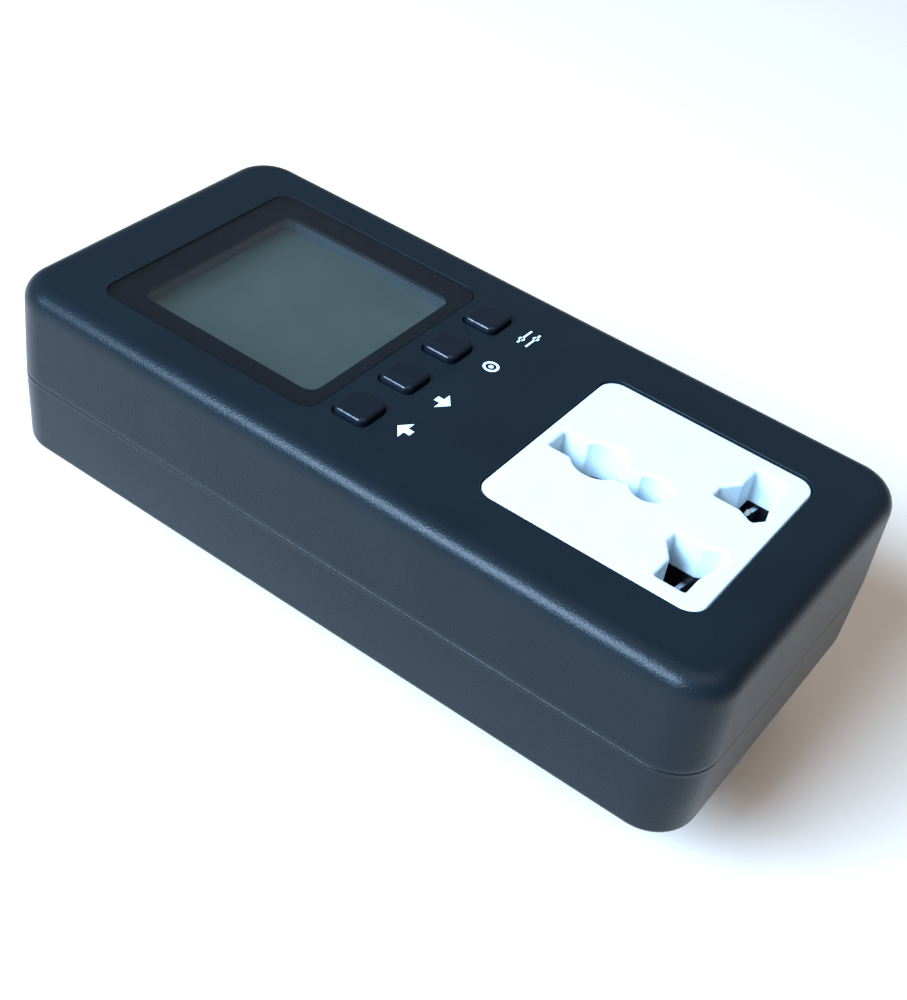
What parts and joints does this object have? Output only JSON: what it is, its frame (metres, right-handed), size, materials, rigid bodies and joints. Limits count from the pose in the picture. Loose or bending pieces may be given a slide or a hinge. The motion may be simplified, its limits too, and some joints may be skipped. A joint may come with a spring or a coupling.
{
  "type": "plug-in power meter",
  "caption": "Slim dark plug-in power meter with a square display, a row of push keys and a white universal socket on its front, and a round-pin plug on its back.",
  "frame": {"origin": "on the flat rear face, midway between the line pin and the neutral pin", "axes": "+Z out of the front face, +Y towards the display end, +X to the meter's right; the pins point along -Z"},
  "size_m": [0.058, 0.122, 0.0506],
  "materials": {
    "case_abs": "fine spark-eroded texture",
    "lens_acrylic": "gloss, with a black printed border",
    "display_glass": "anti-glare film",
    "frame_abs": "satin",
    "diffuser_acrylic": "frosted",
    "zebra_rubber": "matt",
    "board_laminate": "solder mask",
    "chip_epoxy": "moulded epoxy",
    "can_steel": "drawn can",
    "key_abs": "satin",
    "plunger_nylon": "moulded",
    "screw_steel": "zinc plated",
    "link_brass": "gold flash",
    "film_box": "moulded box",
    "capacitor_sleeve": "shrink sleeve",
    "varistor_epoxy": "dipped epoxy",
    "shunt_manganin": "bare strip",
    "fuse_ceramic": "ceramic body with metal caps",
    "socket_white": "satin moulded",
    "carrier_nylon": "moulded",
    "contact_nickel": "nickel-plated strip",
    "pin_brass": "turned and polished"
  },
  "bodies": {
    "housing": {"front_case": "case_abs", "rear_case": "case_abs", "display_lens": "lens_acrylic", "display_glass": "display_glass", "display_frame": "frame_abs", "display_diffuser": "diffuser_acrylic", "zebra_strips": "zebra_rubber", "main_board": "board_laminate", "control_chip": "chip_epoxy", "clock_crystal": "can_steel", "memory_battery": "can_steel", "key_switches": "chip_epoxy", "main_board_screws": "screw_steel", "board_link": "link_brass", "power_board": "board_laminate", "power_board_screws": "screw_steel", "film_capacitor": "film_box", "electrolytic_capacitor": "capacitor_sleeve", "surge_varistor": "varistor_epoxy", "shunt_resistor": "shunt_manganin", "board_fuse": "fuse_ceramic", "socket_insert": "socket_white", "contact_carrier": "carrier_nylon", "carrier_cover": "carrier_nylon", "line_contact": "contact_nickel", "neutral_contact": "contact_nickel", "earth_contact": "contact_nickel", "socket_screws": "screw_steel", "line_pin": "pin_brass", "neutral_pin": "pin_brass", "earth_pin": "pin_brass", "pin_retainer": "carrier_nylon", "retainer_screws": "screw_steel", "case_screws": "screw_steel"},
    "up_key": {"key_up": "key_abs", "plunger_up": "plunger_nylon"},
    "down_key": {"key_down": "key_abs", "plunger_down": "plunger_nylon"},
    "price_key": {"key_price": "key_abs", "plunger_price": "plunger_nylon"},
    "set_key": {"key_set": "key_abs", "plunger_set": "plunger_nylon"}
  },
  "joints": [
    {"name": "up_key_press", "type": "slide", "parent": "housing", "child": "up_key", "axis": [0, 0, -1], "range_m": [0, 0.0003], "stiffness_N_per_m": 5000},
    {"name": "down_key_press", "type": "slide", "parent": "housing", "child": "down_key", "axis": [0, 0, -1], "range_m": [0, 0.0003], "stiffness_N_per_m": 5000},
    {"name": "price_key_press", "type": "slide", "parent": "housing", "child": "price_key", "axis": [0, 0, -1], "range_m": [0, 0.0003], "stiffness_N_per_m": 5000},
    {"name": "set_key_press", "type": "slide", "parent": "housing", "child": "set_key", "axis": [0, 0, -1], "range_m": [0, 0.0003], "stiffness_N_per_m": 5000}
  ]
}
